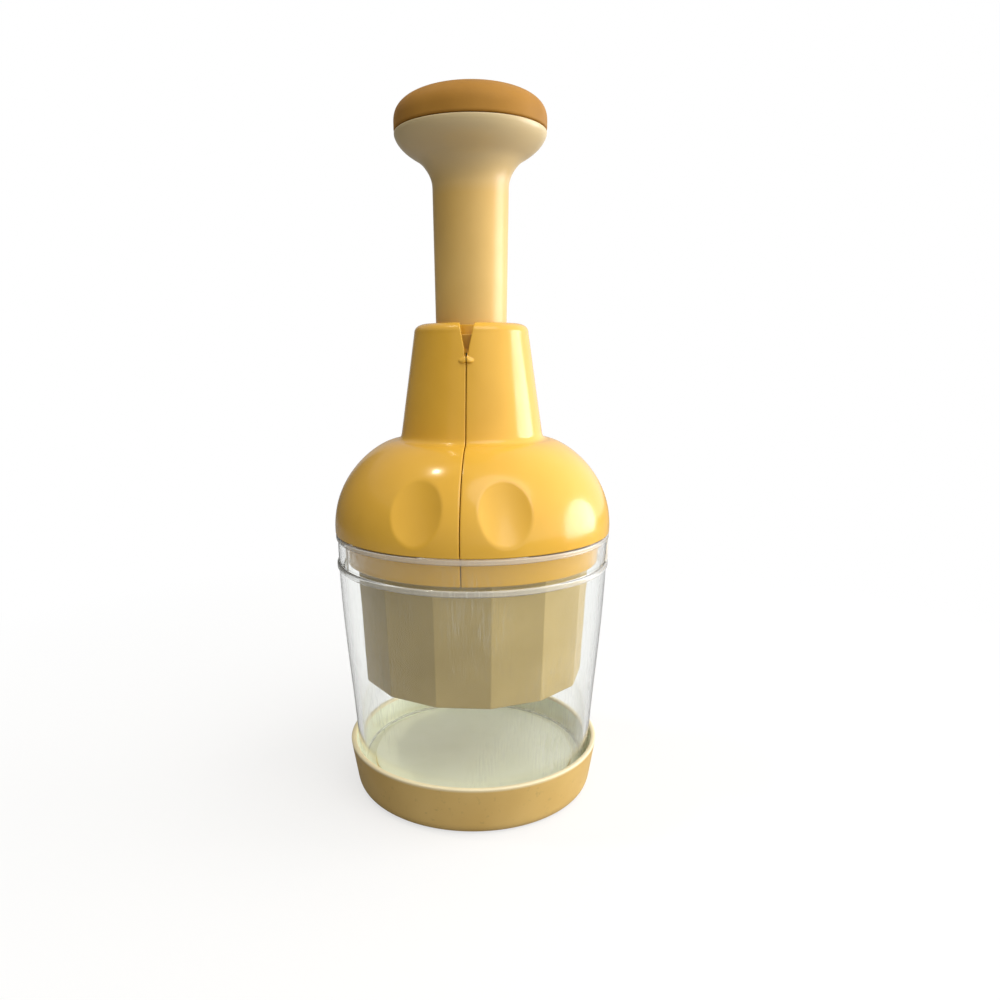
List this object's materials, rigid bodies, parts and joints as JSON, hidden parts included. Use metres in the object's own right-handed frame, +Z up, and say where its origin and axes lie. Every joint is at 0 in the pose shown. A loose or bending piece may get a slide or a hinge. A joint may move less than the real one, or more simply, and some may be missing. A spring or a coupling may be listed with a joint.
{
  "type": "plunger food chopper",
  "caption": "Push-down food chopper: sprung palm plunger drives turning zigzag blades through a guard inside a clear cup on a tray; the housing opens in two halves.",
  "frame": {"origin": "middle of the base tray's underside, on the surface that it stands on", "axes": "+Z up along the plunger; -Y towards the user, through the front of the housing seam; +X to the user's right"},
  "size_m": [0.102, 0.102, 0.2487],
  "materials": {
    "tray_cream": "satin moulded plastic",
    "cup_clear": "clear polished plastic",
    "housing_yellow": "glossy moulded plastic",
    "frame_yellow": "moulded plastic",
    "bush_white": "low-friction plastic",
    "knob_cream": "glossy moulded plastic",
    "cap_tan": "satin moulded plastic",
    "guard_ivory": "satin moulded plastic",
    "hub_white": "moulded plastic",
    "steel": "bright steel",
    "spring_steel": "drawn spring wire",
    "blade_steel": "stainless sheet with a ground edge",
    "brass": "machined brass"
  },
  "bodies": {
    "tray": {"base_tray": "tray_cream"},
    "cup": {"clear_cup": "cup_clear"},
    "head": {"head_frame": "frame_yellow", "guide_bush": "bush_white", "hinge_pin_front": "steel", "hinge_pin_back": "steel", "spring_washer": "steel", "thrust_washer": "bush_white", "return_spring": "spring_steel"},
    "left_half": {"housing_left": "housing_yellow"},
    "right_half": {"housing_right": "housing_yellow"},
    "plunger": {"plunger_stem": "knob_cream", "palm_cap": "cap_tan", "drive_shaft": "steel", "knob_washer": "steel", "knob_screw": "steel", "hub_washer": "steel", "hub_screw": "steel"},
    "guard": {"blade_guard": "guard_ivory", "scraper_plate": "guard_ivory", "drive_nut": "brass", "guard_circlip": "spring_steel"},
    "blade": {"blade_hub": "hub_white", "blade_1": "blade_steel", "blade_2": "blade_steel", "blade_3": "blade_steel"}
  },
  "joints": [
    {"name": "cup_lift", "type": "slide", "parent": "tray", "child": "cup", "axis": [0, 0, 1], "range_m": [0, 0.06]},
    {"name": "head_lift", "type": "slide", "parent": "cup", "child": "head", "axis": [0, 0, 1], "range_m": [0, 0.12]},
    {"name": "left_open", "type": "hinge", "parent": "head", "child": "left_half", "pos_m": [0, 0, 0.1643], "axis": [0, 1, 0], "range_deg": [0, 12]},
    {"name": "right_open", "type": "hinge", "parent": "head", "child": "right_half", "pos_m": [0, 0, 0.1643], "axis": [0, -1, 0], "range_deg": [0, 12]},
    {"name": "plunge", "type": "slide", "parent": "head", "child": "plunger", "axis": [0, 0, -1], "range_m": [0, 0.04], "stiffness_N_per_m": 250, "springref_m": -0.032, "deforming": ["return_spring"]},
    {"name": "guard_turn", "type": "hinge", "parent": "head", "child": "guard", "pos_m": [0, 0, 0.05], "axis": [0, 0, 1], "range_deg": [0, 60.1]},
    {"name": "blade_turn", "type": "hinge", "parent": "plunger", "child": "blade", "pos_m": [0, 0, 0.1], "axis": [0, 0, 1], "range_deg": [0, 60.1]}
  ],
  "couplings": [
    {"joint": "left_open", "follows": "head_lift", "rad_per_m": 1.745},
    {"joint": "right_open", "follows": "head_lift", "rad_per_m": 1.745},
    {"joint": "guard_turn", "follows": "plunge", "rad_per_m": 26.18},
    {"joint": "blade_turn", "follows": "plunge", "rad_per_m": 26.18}
  ]
}
